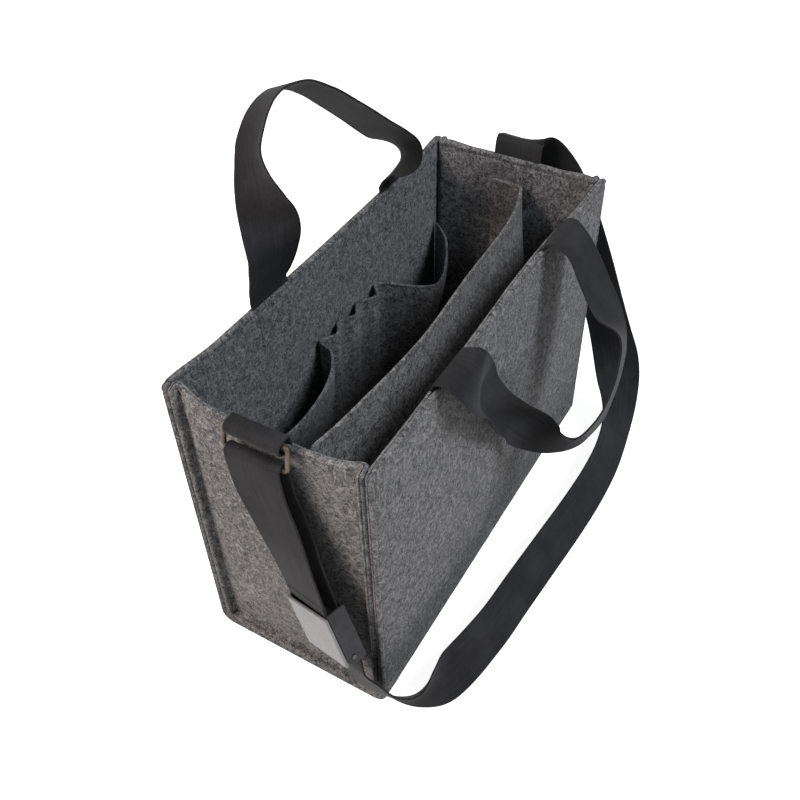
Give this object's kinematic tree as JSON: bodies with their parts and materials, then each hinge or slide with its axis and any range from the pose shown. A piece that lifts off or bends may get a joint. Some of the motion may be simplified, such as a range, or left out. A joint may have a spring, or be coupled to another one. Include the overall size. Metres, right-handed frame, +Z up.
{
  "type": "knitting bag",
  "caption": "Open-topped felt tote for knitting, with a divider, a gathered tool pocket, webbing carrying handles and a long shoulder strap with a lever buckle.",
  "frame": {"origin": "centre of the base on the floor", "axes": "+X along the bag away from the buckle's end, -Y towards the front panel that the strap lies before, +Z up"},
  "size_m": [0.4906, 0.3013, 0.4621],
  "materials": {
    "felt_outer": "mottled grey wool felt",
    "felt_inner": "mottled dark grey wool felt",
    "webbing": "charcoal woven webbing",
    "ring_metal": "dull bronze wire",
    "buckle_dark": "dark grey paint",
    "buckle_cover": "satin light grey",
    "pin_steel": "plain steel"
  },
  "bodies": {
    "bag": {"body_outer_strip": "felt_outer", "left_end_outer": "felt_outer", "right_end_outer": "felt_outer", "body_inner_strip": "felt_inner", "left_end_inner": "felt_inner", "right_end_inner": "felt_inner", "divider": "felt_inner", "organiser_pocket": "felt_inner", "front_handle_left_end": "webbing", "front_handle_right_end": "webbing", "back_handle_left_end": "webbing", "back_handle_right_end": "webbing", "left_strap_tab": "webbing", "right_strap_end": "webbing"},
    "front_handle": {"front_handle_loop": "webbing"},
    "back_handle": {"back_handle_loop": "webbing"},
    "shoulder_strap": {"tab_roll": "webbing", "strap_ring": "ring_metal", "strap_loop": "webbing", "buckle_base": "buckle_dark", "buckle_pin": "pin_steel", "strap_drop": "webbing", "strap_floor_run": "webbing", "strap_rise": "webbing"},
    "buckle_lever": {"buckle_lever": "buckle_cover"}
  },
  "joints": [
    {"name": "front_handle_hinge", "type": "hinge", "parent": "bag", "child": "front_handle", "pos_m": [0.004, -0.0859, 0.306], "axis": [-1, 0, 0], "range_deg": [0, 150]},
    {"name": "back_handle_hinge", "type": "hinge", "parent": "bag", "child": "back_handle", "pos_m": [0.017, 0.0859, 0.306], "axis": [-1, 0, 0], "range_deg": [-30, 130]},
    {"name": "shoulder_strap_swing", "type": "hinge", "parent": "bag", "child": "shoulder_strap", "pos_m": [-0.209, 0, 0.305], "axis": [-0.9994, 0, -0.0332], "range_deg": [0, 180]},
    {"name": "buckle_lever_hinge", "type": "hinge", "parent": "shoulder_strap", "child": "buckle_lever", "pos_m": [-0.231, -0.059, 0.106], "axis": [-0.2695, -0.8877, 0.3734], "range_deg": [0, 80]}
  ]
}
